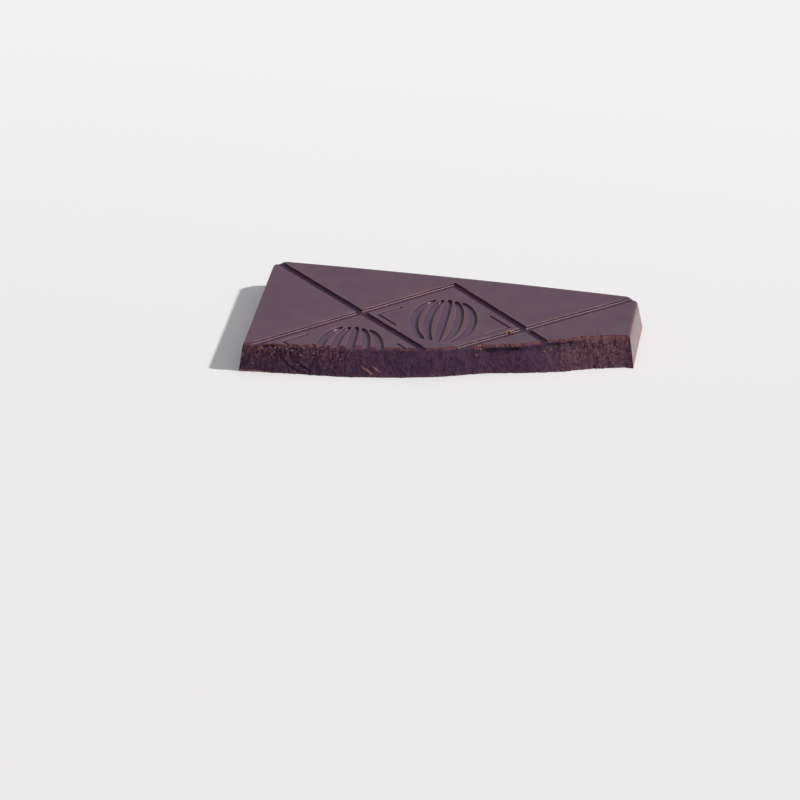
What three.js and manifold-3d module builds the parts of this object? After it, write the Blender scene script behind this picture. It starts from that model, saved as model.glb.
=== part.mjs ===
// The end of a moulded dark chocolate bar, snapped off across its width.
// Units are millimetres, +Z is up, and the patterned face looks up.
// While it is built, X runs across the bar with 0 at mid-width, Y = 0 is the bar's moulded end
// and the broken face looks along -Y. The last step moves the origin to the middle of the base.

import * as THREE from 'three';
import { mergeVertices } from 'three/addons/utils/BufferGeometryUtils.js';
import Module from 'manifold-3d';

const wasm = await Module();
wasm.setup();

// The slab as it left its mould
const FACE_WIDTH = 77;
const THICKNESS = 6;
const LEFT_DRAFT = 0.6;            // how far each moulded wall spreads from the face down to the base
const RIGHT_DRAFT = 1.5;
const END_DRAFT = 0.9;
const END_BOW = 0.7;               // how far the moulded end bulges at mid-width
const CORNER_CUT = 2.2;            // plan size of the bevel across each moulded corner
const FACE_EDGE_RADIUS = 0.45;
const BASE_EDGE_RADIUS = 0.3;
const SLAB_LENGTH = 52;            // longer than the piece, so that the break cuts right through it
const END_STEPS = 14;
const EDGE_STEPS = 3;

// The lattice of snap grooves: each crossing is a corner of a lozenge
const LOZENGE_TOP = -3.3;          // Y of the corner nearest the moulded end
const LOZENGE_HALF_WIDTH = 17.05;
const LOZENGE_SIDE = -21.4;        // Y of the two side corners
const LOZENGE_BOTTOM = -38.3;
const ROW_PITCH = 17.7;            // from one row of lozenges to the next, half a lozenge over
const CHEVRON_SLOPE = 1.062;
const GROOVE_WIDTH = 1.7;
const GROOVE_DEPTH = 0.62;
const GROOVE_FLOOR = 1.1;
const GROOVE_OVERRUN = 8;
const RUN_OUT_LENGTH = 3;          // along X, where a groove grows shallower towards a moulded corner
const RUN_OUT_RISE = 0.37;

// The fine lines inside each lozenge, set in from its two side corners
const HAIRLINE_WIDTH = 0.45;
const HAIRLINE_DEPTH = 0.22;
const HAIRLINE_FLOOR = 0.15;
const HAIRLINE_INSET = 3.4;        // from the side corner, along X
const HAIRLINE_ARM = 4.4;          // length of each arm, along X

// The cocoa pod pressed into each lozenge: ribs like the meridians of a globe
const POD_LENGTH = 22;
const POD_RIB_SPREAD = [-6.0, -3.1, 0, 3.1, 6.0];
const POD_RIB_REACH = [62, 66, 72, 66, 62];   // degrees of meridian on each side of the equator
const POD_RIB_WIDTH = 1.7;
const POD_RIB_TIP = 0.6;           // share of the width that is left near a rib's tip
const POD_DEPTH = 0.5;
const POD_WALL_RUN = 0.2;          // how far a rib's wall runs in on its way down
const POD_TIP_POWER = 14;          // the higher, the blunter a rib's tip
const POD_TIP_LEFT = 0.28;         // share of the width that is left at the very tip
const POD_STEPS = 12;

// The broken face: its line in plan at equal steps across the bar, on the face and at the base
const BREAK_ON_FACE = [
  -41.7, -40.8, -39.4, -38.2, -37.2, -35.9, -33.7, -30.9, -28.4, -24.4, -21.4, -19.3,
];
const BREAK_AT_BASE = [
  -42.6, -41.8, -41.1, -40.5, -39.0, -37.3, -34.9, -31.9, -30.0, -27.8, -24.7, -22.3,
];
const BREAK_COLUMNS = 128;
const BREAK_ROWS = 11;
const BREAK_MARGIN = 3;            // how far the cutting surface runs past the slab
const TORN_LEFT = [-24, -15];      // where the ridges fade out, away from the left side
const TORN_RIGHT = [20, 25, 34, 38];       // where they fade in and out again near the right side
const SMOOTH_SHARE = 0.15;         // of the ridges' height, where the break is cleanest
const BASE_SHARE = 0.35;           // of their height at the base
const HACKLE_SWEEP = 2.2;          // how far the ridges lean towards mid-width at the base
const HACKLE_LEAN_SPAN = 15;       // within this distance of mid-width they lean less
// Layers of relief: height, size of the bumps across and up, and a shift that sets layers apart
const HACKLES = { height: 0.34, across: 1.5, up: 9, shift: 0 };
const RIDGELETS = { height: 0.17, across: 0.75, up: 4, shift: 40 };
const GRAINS = { height: 0.1, across: 0.9, up: 0.8, shift: 7 };
const CRUMBLE = { height: 0.5, across: 1.3, row: 3, shift: 90, bias: 0.15, band: 1 };
const LEDGE_RUN = [1.1, 0.6];      // depth below the face where an overhang ends and begins
const LEDGES = [{ middle: 13.3, half: 4.8, depth: 0.7 }, { middle: 25.5, half: 5, depth: 0.3 }];

const LIFT = 0.6;                  // how far cutters stand out of the surface that they cut

// Small helpers

const smooth = (edge0, edge1, x) => THREE.MathUtils.smoothstep(x, edge0, edge1);

// A repeatable value from 0 to 1 for each whole-number cell
function cellValue(i, j) {
  const s = Math.sin(i * 127.1 + j * 311.7) * 43758.5453;
  return s - Math.floor(s);
}

// Smooth noise from -1 to 1, with one bump about every unit
function noise(x, y) {
  const i = Math.floor(x);
  const j = Math.floor(y);
  const u = smooth(0, 1, x - i);
  const v = smooth(0, 1, y - j);
  const near = THREE.MathUtils.lerp(cellValue(i, j), cellValue(i + 1, j), u);
  const far = THREE.MathUtils.lerp(cellValue(i, j + 1), cellValue(i + 1, j + 1), u);
  return 2 * THREE.MathUtils.lerp(near, far, v) - 1;
}

// A smooth curve through values at equal steps, for t from 0 to 1
function through(values, t) {
  const last = values.length - 1;
  const place = THREE.MathUtils.clamp(t, 0, 1) * last;
  const i = Math.min(Math.floor(place), last - 1);
  const u = place - i;
  const [a, b] = [values[Math.max(i - 1, 0)], values[i]];
  const [c, d] = [values[i + 1], values[Math.min(i + 2, last)]];
  return b + 0.5 * u * (c - a + u * (2 * a - 5 * b + 4 * c - d + u * (3 * (b - c) + d - a)));
}

// A closed mesh from rings of equal length, listed bottom to top and each anticlockwise from above
function loft(rings) {
  const count = rings[0].length;
  const positions = rings.flat().flatMap((p) => [p.x, p.y, p.z]);
  const faces = [];
  for (let r = 0; r + 1 < rings.length; r++) {
    for (let i = 0; i < count; i++) {
      const a = r * count + i;
      const b = r * count + (i + 1) % count;
      faces.push(a, b, b + count, a, b + count, a + count);
    }
  }
  const capOf = (ring) => {
    const outline = ring.map((p) => new THREE.Vector2(p.x, p.y));
    return THREE.ShapeUtils.triangulateShape(outline, []);
  };
  const top = (rings.length - 1) * count;
  for (const [a, b, c] of capOf(rings[0])) faces.push(a, c, b);
  for (const [a, b, c] of capOf(rings[rings.length - 1])) faces.push(top + a, top + b, top + c);
  return indexed(positions, faces);
}

function indexed(positions, faces) {
  const geometry = new THREE.BufferGeometry();
  geometry.setAttribute('position', new THREE.Float32BufferAttribute(positions, 3));
  geometry.setIndex(faces);
  return geometry;
}

function toSolid(geometry) {
  const merged = mergeVertices(geometry, 1e-5);
  return new wasm.Manifold(new wasm.Mesh({
    numProp: 3,
    vertProperties: new Float32Array(merged.attributes.position.array),
    triVerts: new Uint32Array(merged.index.array),
  }));
}

function toGeometry(solid) {
  const mesh = solid.getMesh();
  return indexed(Array.from(mesh.vertProperties), Array.from(mesh.triVerts));
}

// The slab

// How far a wall with this draft stands out from the face's outline at height z
function wallSpread(z, draft) {
  const intoFace = Math.max(0, z - (THICKNESS - FACE_EDGE_RADIUS));
  const intoBase = Math.max(0, BASE_EDGE_RADIUS - z);
  const rounding = (radius, into) => radius - Math.sqrt(Math.max(0, radius * radius - into * into));
  const taper = draft * (1 - z / THICKNESS);
  return taper - rounding(FACE_EDGE_RADIUS, intoFace) - rounding(BASE_EDGE_RADIUS, intoBase);
}

// The slab's outline at height z: straight sides, bevelled corners and a slightly bowed end
function slabRing(z) {
  const [left, right, end] = [LEFT_DRAFT, RIGHT_DRAFT, END_DRAFT].map((draft) => wallSpread(z, draft));
  const half = FACE_WIDTH / 2;
  const cornerShift = end * Math.tan(Math.PI / 8);
  const endHalf = half - CORNER_CUT + cornerShift;
  const ring = [
    new THREE.Vector3(-half - left, -SLAB_LENGTH, z),
    new THREE.Vector3(half + right, -SLAB_LENGTH, z),
    new THREE.Vector3(half + right, -CORNER_CUT + cornerShift, z),
  ];
  for (let i = 0; i <= END_STEPS; i++) {
    const x = endHalf * (1 - 2 * i / END_STEPS);
    ring.push(new THREE.Vector3(x, end + END_BOW * (1 - (x / endHalf) ** 2), z));
  }
  ring.push(new THREE.Vector3(-half - left, -CORNER_CUT + cornerShift, z));
  return ring;
}

function slab() {
  const heights = [];
  for (let i = 0; i <= EDGE_STEPS; i++) {
    heights.push(BASE_EDGE_RADIUS * (1 - Math.cos(i / EDGE_STEPS * Math.PI / 2)));
  }
  for (let i = 0; i <= EDGE_STEPS; i++) {
    heights.push(THICKNESS - FACE_EDGE_RADIUS * (1 - Math.sin(i / EDGE_STEPS * Math.PI / 2)));
  }
  return loft(heights.map(slabRing));
}

// Channels cut into the face

// A cutter swept along a path on the face. Each stop has a place, a width at the face and the rise
// of its floor; the walls run in to the floor, and the joints between straight stretches are mitred.
function channel(stops, depth, floorOf) {
  const rings = stops.map((stop, i) => {
    const before = stops[Math.max(i - 1, 0)];
    const after = stops[Math.min(i + 1, stops.length - 1)];
    const sides = [];
    for (const [from, to] of [[before, stop], [stop, after]]) {
      if (from !== to) sides.push(new THREE.Vector2(to.x - from.x, to.y - from.y).normalize());
    }
    const along = sides[0].clone().add(sides[sides.length - 1]).normalize();
    const across = new THREE.Vector2(along.y, -along.x).divideScalar(along.dot(sides[0]));
    const rim = stop.width / 2;
    const floor = floorOf(stop.width) / 2;
    const lifted = rim + LIFT * (rim - floor) / depth;
    const at = (offset, height) => new THREE.Vector3(
      stop.x + across.x * offset, stop.y + across.y * offset, height + stop.rise,
    );
    return [
      at(-lifted, THICKNESS + LIFT), at(-floor, THICKNESS - depth),
      at(floor, THICKNESS - depth), at(lifted, THICKNESS + LIFT),
    ];
  });
  const count = 4;
  const faces = [0, 1, 2, 0, 2, 3];
  for (let r = 0; r + 1 < rings.length; r++) {
    for (let i = 0; i < count; i++) {
      const a = r * count + i;
      const b = r * count + (i + 1) % count;
      faces.push(a, b + count, b, a, a + count, b + count);
    }
  }
  const last = (rings.length - 1) * count;
  faces.push(last, last + 2, last + 1, last, last + 3, last + 2);
  return indexed(rings.flat().flatMap((p) => [p.x, p.y, p.z]), faces);
}

const stopAt = (x, y, width, rise = 0) => ({ x, y, width, rise });

function grooveCutters() {
  const floorOf = () => GROOVE_FLOOR;
  const cornerRise = (LOZENGE_BOTTOM - LOZENGE_SIDE) / LOZENGE_HALF_WIDTH;
  const reach = FACE_WIDTH / 2 + GROOVE_OVERRUN;
  const groove = (...stops) => channel(
    stops.map(([x, y, rise]) => stopAt(x, y, GROOVE_WIDTH, rise)), GROOVE_DEPTH, floorOf,
  );
  const runOutStart = FACE_WIDTH / 2 - RUN_OUT_LENGTH;
  const runOutRise = RUN_OUT_RISE * (reach - runOutStart) / RUN_OUT_LENGTH;
  const fromCorner = (side) => groove(
    [side * reach, LOZENGE_BOTTOM - cornerRise * reach, runOutRise],
    [side * runOutStart, LOZENGE_BOTTOM - cornerRise * runOutStart, 0],
    [-side * GROOVE_OVERRUN, LOZENGE_BOTTOM + cornerRise * GROOVE_OVERRUN, 0],
  );
  const chevronFoot = LOZENGE_TOP - CHEVRON_SLOPE * reach;
  const chevron = groove([-reach, chevronFoot, 0], [0, LOZENGE_TOP, 0], [reach, chevronFoot, 0]);
  return [fromCorner(-1), fromCorner(1), chevron];
}

function hairlineCutters(centre) {
  const slope = (LOZENGE_TOP - LOZENGE_BOTTOM) / 2 / LOZENGE_HALF_WIDTH;
  return [-1, 1].map((side) => {
    const corner = centre.x + side * (LOZENGE_HALF_WIDTH - HAIRLINE_INSET);
    const end = corner - side * HAIRLINE_ARM;
    const rise = HAIRLINE_ARM * slope;
    const line = [[end, centre.y + rise], [corner, centre.y], [end, centre.y - rise]];
    const stops = line.map(([x, y]) => stopAt(x, y, HAIRLINE_WIDTH));
    return channel(stops, HAIRLINE_DEPTH, () => HAIRLINE_FLOOR);
  });
}

// One rib of the pod: widest at its middle, with a blunt rounded tip at each end
function podRib(centre, spread, reachDegrees) {
  const reach = THREE.MathUtils.degToRad(reachDegrees);
  const stops = [];
  for (let i = 0; i <= POD_STEPS; i++) {
    const t = -Math.cos(i / POD_STEPS * Math.PI);
    const body = THREE.MathUtils.lerp(1, POD_RIB_TIP, t * t);
    const tip = Math.max(Math.sqrt(1 - t ** POD_TIP_POWER), POD_TIP_LEFT);
    const x = centre.x + spread * Math.cos(t * reach);
    const y = centre.y + POD_LENGTH / 2 * Math.sin(t * reach);
    stops.push(stopAt(x, y, POD_RIB_WIDTH * body * tip));
  }
  return channel(stops, POD_DEPTH, (width) => Math.max(width - 2 * POD_WALL_RUN, width / 2));
}

function podCutters(centre) {
  return POD_RIB_SPREAD.map((spread, i) => podRib(centre, spread, POD_RIB_REACH[i]));
}

function faceCutters() {
  const centres = [
    { x: 0, y: LOZENGE_SIDE },
    { x: -LOZENGE_HALF_WIDTH, y: LOZENGE_SIDE - ROW_PITCH },
    { x: LOZENGE_HALF_WIDTH, y: LOZENGE_SIDE - ROW_PITCH },
  ];
  return [...grooveCutters(), ...centres.flatMap((c) => [...hairlineCutters(c), ...podCutters(c)])];
}

// The broken face

// How rough the break is at each place across the bar: torn at both sides, cleaner in the middle
function roughness(x) {
  const left = 1 - smooth(TORN_LEFT[0], TORN_LEFT[1], x);
  const right = smooth(TORN_RIGHT[0], TORN_RIGHT[1], x) - smooth(TORN_RIGHT[2], TORN_RIGHT[3], x);
  return THREE.MathUtils.lerp(SMOOTH_SHARE, 1, Math.max(left, right));
}

function layer({ height, across, up, shift }, x, z) {
  return height * noise(x / across + shift, z / up);
}

// Y of the broken face. Ridges fan down from the face, grains pit it and the rim has crumbled.
function breakAt(x, z) {
  const t = x / FACE_WIDTH + 0.5;
  const height = THREE.MathUtils.clamp(z / THICKNESS, 0, 1);
  const line = THREE.MathUtils.lerp(through(BREAK_AT_BASE, t), through(BREAK_ON_FACE, t), height);
  const lean = THREE.MathUtils.clamp(-x / HACKLE_LEAN_SPAN, -1, 1);
  const swept = x + lean * HACKLE_SWEEP * (1 - height) ** 2;
  const ridges = layer(HACKLES, swept, z) + layer(RIDGELETS, swept, z);
  const ridgeShare = roughness(x) * THREE.MathUtils.lerp(BASE_SHARE, 1, height);
  const rim = smooth(THICKNESS - CRUMBLE.band, THICKNESS, z);
  const lump = noise(x / CRUMBLE.across + CRUMBLE.shift, CRUMBLE.row) + CRUMBLE.bias;
  const crumble = CRUMBLE.height * rim * Math.max(0, lump);
  const overhang = height * (1 - smooth(THICKNESS - LEDGE_RUN[0], THICKNESS - LEDGE_RUN[1], z));
  let ledge = 0;
  for (const { middle, half, depth } of LEDGES) {
    ledge += depth * overhang * (1 - smooth(0.5, 1, Math.abs(x - middle) / half));
  }
  return line + ridges * ridgeShare + layer(GRAINS, x, z) + crumble + ledge;
}

// Everything in front of the break, as one block that is taken away
function breakCutter() {
  const half = FACE_WIDTH / 2 + BREAK_MARGIN;
  const front = -SLAB_LENGTH - BREAK_MARGIN;
  const rings = [];
  for (let r = 0; r <= BREAK_ROWS; r++) {
    const z = THREE.MathUtils.lerp(-LIFT, THICKNESS + LIFT, r / BREAK_ROWS);
    const ring = [new THREE.Vector3(-half, front, z), new THREE.Vector3(half, front, z)];
    for (let c = 0; c <= BREAK_COLUMNS; c++) {
      const x = THREE.MathUtils.lerp(half, -half, c / BREAK_COLUMNS);
      ring.push(new THREE.Vector3(x, breakAt(x, z), z));
    }
    rings.push(ring);
  }
  return loft(rings);
}

// The finished piece, with its origin at the middle of its base
function barPiece() {
  let solid = toSolid(slab());
  for (const cutter of [...faceCutters(), breakCutter()]) {
    solid = solid.subtract(toSolid(cutter));
  }
  const geometry = toGeometry(solid);
  geometry.computeBoundingBox();
  const { min, max } = geometry.boundingBox;
  geometry.translate(-(min.x + max.x) / 2, -(min.y + max.y) / 2, -min.z);
  return geometry;
}

const chocolate = new THREE.MeshStandardMaterial({ color: 0x624d59, roughness: 0.35, metalness: 0 });

const bar = new THREE.Mesh(barPiece(), chocolate);
bar.name = 'chocolate_bar';

const group = new THREE.Group();
group.add(bar);
export default group;
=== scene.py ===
import math

import bmesh
import bpy
import numpy as np
from mathutils import Matrix, Vector


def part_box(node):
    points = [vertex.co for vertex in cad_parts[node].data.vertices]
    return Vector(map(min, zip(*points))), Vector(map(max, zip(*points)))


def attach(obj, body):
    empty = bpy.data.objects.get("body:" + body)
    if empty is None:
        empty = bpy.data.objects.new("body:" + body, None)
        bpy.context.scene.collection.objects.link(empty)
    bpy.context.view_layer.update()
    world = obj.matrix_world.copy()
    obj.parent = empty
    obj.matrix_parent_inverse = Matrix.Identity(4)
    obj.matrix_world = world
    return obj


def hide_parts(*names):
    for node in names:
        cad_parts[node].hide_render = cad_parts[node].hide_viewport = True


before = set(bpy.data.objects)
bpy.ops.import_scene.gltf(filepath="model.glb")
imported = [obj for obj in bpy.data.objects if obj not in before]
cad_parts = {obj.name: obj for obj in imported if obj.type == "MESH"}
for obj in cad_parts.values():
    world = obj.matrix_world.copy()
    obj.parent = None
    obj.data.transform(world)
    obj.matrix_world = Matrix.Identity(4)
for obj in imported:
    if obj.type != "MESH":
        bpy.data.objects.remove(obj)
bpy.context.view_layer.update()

# Sizes are in millimetres and become metres in the meshes. Across the bar X is 0 at mid-width,
# Z is 0 at the base, and Y is counted from the line of the moulded end, as the solid was built.
MM = 0.001

# The slab as it left its mould
LEFT_DRAFT = 0.6         # how far a wall's foot stands out from its top
RIGHT_DRAFT = 1.5
END_DRAFT = 0.9
END_BOW = 0.7
CORNER_CUT = 2.2
CORNER_ANGLE = math.pi / 4
CORNER_ROUND = 0.5
CORNER_STEPS = 5
FACE_EDGE_RADIUS = 0.45
BASE_EDGE_RADIUS = 0.3
SLAB_LENGTH = 52.0
END_STEPS = 40
EDGE_STEPS = 7

low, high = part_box("chocolate_bar")
THICKNESS = (high.z - low.z) / MM
WIDEST = 1 - BASE_EDGE_RADIUS / THICKNESS            # share of its draft that a wall reaches
FACE_WIDTH = (high.x - low.x) / MM - (LEFT_DRAFT + RIGHT_DRAFT) * WIDEST
HALF_FACE = FACE_WIDTH / 2
MID_WIDTH = low.x / MM + LEFT_DRAFT * WIDEST + HALF_FACE          # X = 0 of the bar, in the frame
END_LINE = high.y / MM - END_DRAFT * WIDEST - END_BOW             # Y = 0 of the bar, in the frame

# The lattice of snap grooves
LOZENGE_TOP = -3.3
LOZENGE_HALF_WIDTH = 17.05
LOZENGE_SIDE = -21.4
LOZENGE_BOTTOM = -38.3
ROW_PITCH = 17.7
CHEVRON_SLOPE = 1.062
CROSS_SLOPE = (LOZENGE_SIDE - LOZENGE_BOTTOM) / LOZENGE_HALF_WIDTH
GROOVE_WIDTH = 1.7
GROOVE_DEPTH = 0.62
GROOVE_ROUND = 3.0       # how boxy a groove's section is: 2 is an ellipse
GROOVE_OVERRUN = 8.0
RUN_OUT_LENGTH = 3.0     # the stretch where a cross groove rises towards the moulded corner
RUN_OUT_RISE = 0.37

# The fine lines in the lozenges
HAIRLINE_WIDTH = 0.45
HAIRLINE_DEPTH = 0.22
HAIRLINE_INSET = 3.4
HAIRLINE_ARM = 4.4

# The cocoa pod in each lozenge
POD_LENGTH = 22.0
POD_RIB_SPREAD = (-6.0, -3.1, 0.0, 3.1, 6.0)
POD_RIB_REACH = (62, 66, 72, 66, 62)     # how far round the pod a rib runs each way, in degrees
POD_RIB_WIDTH = 1.7
POD_RIB_TIP = 0.6        # share of its width that a rib keeps towards its tips
POD_DEPTH = 0.5
POD_TIP_POWER = 14       # the higher, the blunter the tips
POD_TIP_LEFT = 0.14
POD_ROUND = 5.0
POD_STEPS = 44

# The broken face
BREAK_ON_FACE = (-41.7, -40.8, -39.4, -38.2, -37.2, -35.9, -33.7, -30.9, -28.4, -24.4, -21.4, -19.3)
BREAK_AT_BASE = (-42.6, -41.8, -41.1, -40.5, -39.0, -37.3, -34.9, -31.9, -30.0, -27.8, -24.7, -22.3)
BREAK_COLUMNS = 520
BREAK_ROWS = 44
BREAK_MARGIN = 3.0
TORN_LEFT = (-24.0, -15.0)
TORN_RIGHT = (20.0, 25.0, 34.0, 38.0)
SMOOTH_SHARE = 0.15
BASE_SHARE = 0.35
HACKLE_SWEEP = 2.2
HACKLE_LEAN_SPAN = 15.0
# Layers of relief: height, size of the bumps across and up, and a shift that sets layers apart
HACKLES = (0.34, 1.5, 9.0, 0.0)
RIDGELETS = (0.17, 0.75, 4.0, 40.0)
GRAINS = (0.1, 0.9, 0.8, 7.0)
CRUMBLE_HEIGHT, CRUMBLE_BIAS, CRUMBLE_BAND = 0.5, 0.15, 1.0
CRUMBLE_ACROSS, CRUMBLE_SHIFT, CRUMBLE_ROW = 1.3, 90.0, 3.0
LEDGE_RUN = (1.1, 0.6)   # from how far below the face to how far a ledge steps back
LEDGE_FULL = 0.5         # share of its half length that has its full depth
LEDGES = ((13.3, 4.8, 0.7), (25.5, 5.0, 0.3))      # middle, half length and depth of each

# Detail that only the finished surface has
RIM_ROUND = 0.18
RIM_POINTS = (0, 0.35, 0.7)      # where along its rounding a rim has points
RIM_STAND = 0.01         # how far a rim's outermost point stands above the face
RIM_MARGIN = 0.05        # how far the open top of a cutter goes past its rims
LIFT = 0.6               # how far a cutter stands out of what it cuts
SECTION_STEPS = 9        # points on each side of a channel's section
RAG_STEP = 0.3           # how finely a groove's rims wander
RAG_SIZE = 0.08          # how far they wander
RAG_WAVES = ((1.0, 0.9, 5.0, 0.0), (0.6, 0.35, 0.0, 9.0))        # share, length and two shifts
RAG_ROW = 5.0            # length of the waves along Y
RAG_LIFT = 0.3           # share of the wandering that raises or lowers the groove
BEND_ROOM = 1.5          # kept plain on both sides of a groove's bend
FINE_HACKLES = ((0.09, 0.42, 2.2, 11.0), (0.063, 0.27, 1.3, 60.0))
FINE_GRAINS = ((0.05, 0.33, 0.3, 3.0), (0.03, 0.2, 0.2, 31.0))
RIM_CHIPS = (0.22, 0.45, 0.6, 17.0)
RIM_CHIP_BAND = 0.7
RIM_CHIP_SHARE = 0.5     # of their size that chips keep where the break is smooth
HOLES = (0.12, 0.5, 0.45, 71.0)
HOLE_SHARE = 0.35        # the higher, the fewer holes
SHELL_MIDDLE = (-19.1, 4.8)       # X and Z of the point that the shell-shaped ripples curve round
SHELL_REACH = (11.86, 5.65)       # how far they reach along X and Z
SHELL_RIPPLES = ((1.0, 0.8), (0.834, 1.0), (0.7, 0.35))      # radius and strength of each
SHELL_WIDTH = 0.025
SHELL_DEPTH = 0.25
SHELL_RIGHT_END = (-0.55, -0.4)   # where they fade out to the right, as shares of the reach
SHELL_UPPER_END = (-0.1, 0.1)     # and upwards
PIT_HEIGHT = 0.3
PITS = (                 # middle, level, half length and depth of each
    (-33.2, 5.45, 1.2, 0.7),
    (-23.0, 5.5, 0.6, 0.4),
    (16.0, 4.9, 1.4, 0.3),
    (24.0, 5.1, 2.5, 0.3),
)

# The camera, as fitted to the lozenge lattice and the outline of the piece
CAMERA_PLACE = (96.3, -951.8, 436.4)     # from the middle of the moulded end of the face
CAMERA_RIGHT = (0.98954, 0.13540, 0.04980)
CAMERA_DOWN = (0.10375, -0.42799, -0.89781)
CAMERA_FORWARD = (-0.10025, 0.89358, -0.43756)
CAMERA_LENS = 225.1
SENSOR = 36.0
CAMERA_CLIP = (0.01, 20.0)               # in metres

# Single marks: dusty lozenges, a dimple in the face and slanting scratches across the break
EVERYWHERE = 1000.0
DUST_REACH = (11.0, 13.0, EVERYWHERE)
DIMPLE = (29.4, -15.85, 0.0)
DIMPLE_RADIUS = 0.5
DIMPLE_DEPTH = 0.06
SCRATCH_SLANT = -36.0    # in degrees
SCRATCH_WIDTH = 0.14
SCRATCHES = (          # middle and half length of each
    ((-13.3, 0, 1.4), 1.9),
    ((-12.7, 0, 1.2), 1.1),
    ((-11.4, 0, 1.7), 1.5),
    ((-11.0, 0, 1.4), 0.9),
)

# The seed of every random draw
SEED = 7

# Uneven numbers that give each cell of the smooth noise its own value
SCATTER_ACROSS, SCATTER_UP, SCATTER_SIZE = 127.1, 311.7, 43758.5453


def smooth(edge_low, edge_high, value):
    t = np.clip((value - edge_low) / (edge_high - edge_low), 0, 1)
    return t * t * (3 - 2 * t)


def mix(a, b, share):
    return a + (b - a) * share


def cell_value(i, j):
    scattered = np.sin(i * SCATTER_ACROSS + j * SCATTER_UP) * SCATTER_SIZE
    return scattered - np.floor(scattered)


def noise(x, y):
    """Smooth noise from -1 to 1, with one bump about every unit."""
    x, y = np.broadcast_arrays(np.asarray(x, float), np.asarray(y, float))
    i, j = np.floor(x), np.floor(y)
    u, v = smooth(0, 1, x - i), smooth(0, 1, y - j)
    near = mix(cell_value(i, j), cell_value(i + 1, j), u)
    far = mix(cell_value(i, j + 1), cell_value(i + 1, j + 1), u)
    return 2 * mix(near, far, v) - 1


def through(values, t):
    """A smooth curve through values at equal steps, for t from 0 to 1."""
    values = np.asarray(values)
    last = len(values) - 1
    place = np.clip(t, 0, 1) * last
    i = np.minimum(np.floor(place), last - 1).astype(int)
    u = place - i
    a, b = values[np.maximum(i - 1, 0)], values[i]
    c, d = values[i + 1], values[np.minimum(i + 2, last)]
    return b + 0.5 * u * (c - a + u * (2 * a - 5 * b + 4 * c - d + u * (3 * (b - c) + d - a)))


# Meshes

def new_mesh(name, points, faces, tags=None):
    """A mesh object from points in bar millimetres; a tag is the material index of a face."""
    placed = np.asarray(points, float) + (MID_WIDTH, END_LINE, 0)
    mesh = bpy.data.meshes.new(name)
    mesh.from_pydata((placed * MM).tolist(), [], [list(map(int, f)) for f in faces])
    if tags is not None:
        mesh.polygons.foreach_set("material_index", np.asarray(tags, dtype=np.int32))
    mesh.validate()
    made = bpy.data.objects.new(name, mesh)
    bpy.context.scene.collection.objects.link(made)
    return made


def loft(name, rings, strip_tags=None, side_tag=0):
    """A closed mesh from rings of points, bottom to top or along a path, capped at both ends."""
    rings = np.asarray(rings, float)
    steps, count = rings.shape[:2]
    faces, tags = [], []
    for r in range(steps - 1):
        for i in range(count):
            j = (i + 1) % count
            faces.append((r * count + i, r * count + j, (r + 1) * count + j, (r + 1) * count + i))
            tags.append(strip_tags[i] if strip_tags else side_tag)
    faces.append(tuple(reversed(range(count))))
    faces.append(tuple((steps - 1) * count + i for i in range(count)))
    tags += [side_tag, side_tag]
    return new_mesh(name, rings.reshape(-1, 3), faces, tags)


# The slab

def wall_spread(z, draft):
    """How far a wall with this draft stands out from the face's outline at height z."""
    def rounding(radius, into):
        return radius - math.sqrt(max(0.0, radius * radius - into * into))

    into_face = max(0.0, z - (THICKNESS - FACE_EDGE_RADIUS))
    into_base = max(0.0, BASE_EDGE_RADIUS - z)
    taper = draft * (1 - z / THICKNESS)
    return taper - rounding(FACE_EDGE_RADIUS, into_face) - rounding(BASE_EDGE_RADIUS, into_base)


def rounded_corner(before, corner, after):
    """Points along a soft corner, as a quadratic curve."""
    before, corner, after = (np.asarray(p, float) for p in (before, corner, after))
    start = corner + (before - corner) / np.linalg.norm(before - corner) * CORNER_ROUND
    end = corner + (after - corner) / np.linalg.norm(after - corner) * CORNER_ROUND
    shares = np.linspace(0, 1, CORNER_STEPS)
    return [mix(mix(start, corner, t), mix(corner, end, t), t) for t in shares]


def slab_ring(z):
    """The slab's outline at height z, anticlockwise from its front left corner."""
    left = -HALF_FACE - wall_spread(z, LEFT_DRAFT)
    right = HALF_FACE + wall_spread(z, RIGHT_DRAFT)
    end = wall_spread(z, END_DRAFT)
    shift = end * math.tan(CORNER_ANGLE / 2)
    side_end = -CORNER_CUT + shift
    end_half = HALF_FACE - CORNER_CUT + shift
    across = np.linspace(end_half, -end_half, END_STEPS + 1)
    back = [(x, end + END_BOW * (1 - (x / end_half) ** 2)) for x in across]
    front_left, front_right = (left, -SLAB_LENGTH), (right, -SLAB_LENGTH)
    outline = [front_left, front_right]
    outline += rounded_corner(front_right, (right, side_end), back[0])
    outline += rounded_corner((right, side_end), back[0], back[1])
    outline += back[1:-1]
    outline += rounded_corner(back[-2], back[-1], (left, side_end))
    outline += rounded_corner(back[-1], (left, side_end), front_left)
    return [(x, y, z) for x, y in outline]


def slab():
    turns = np.linspace(0, math.pi / 2, EDGE_STEPS)
    heights = [BASE_EDGE_RADIUS * (1 - math.cos(a)) for a in turns]
    heights += [THICKNESS - FACE_EDGE_RADIUS * (1 - math.sin(a)) for a in turns]
    return loft("moulded_slab", [slab_ring(z) for z in heights], side_tag=SKIN)


# Channels in the face

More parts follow.
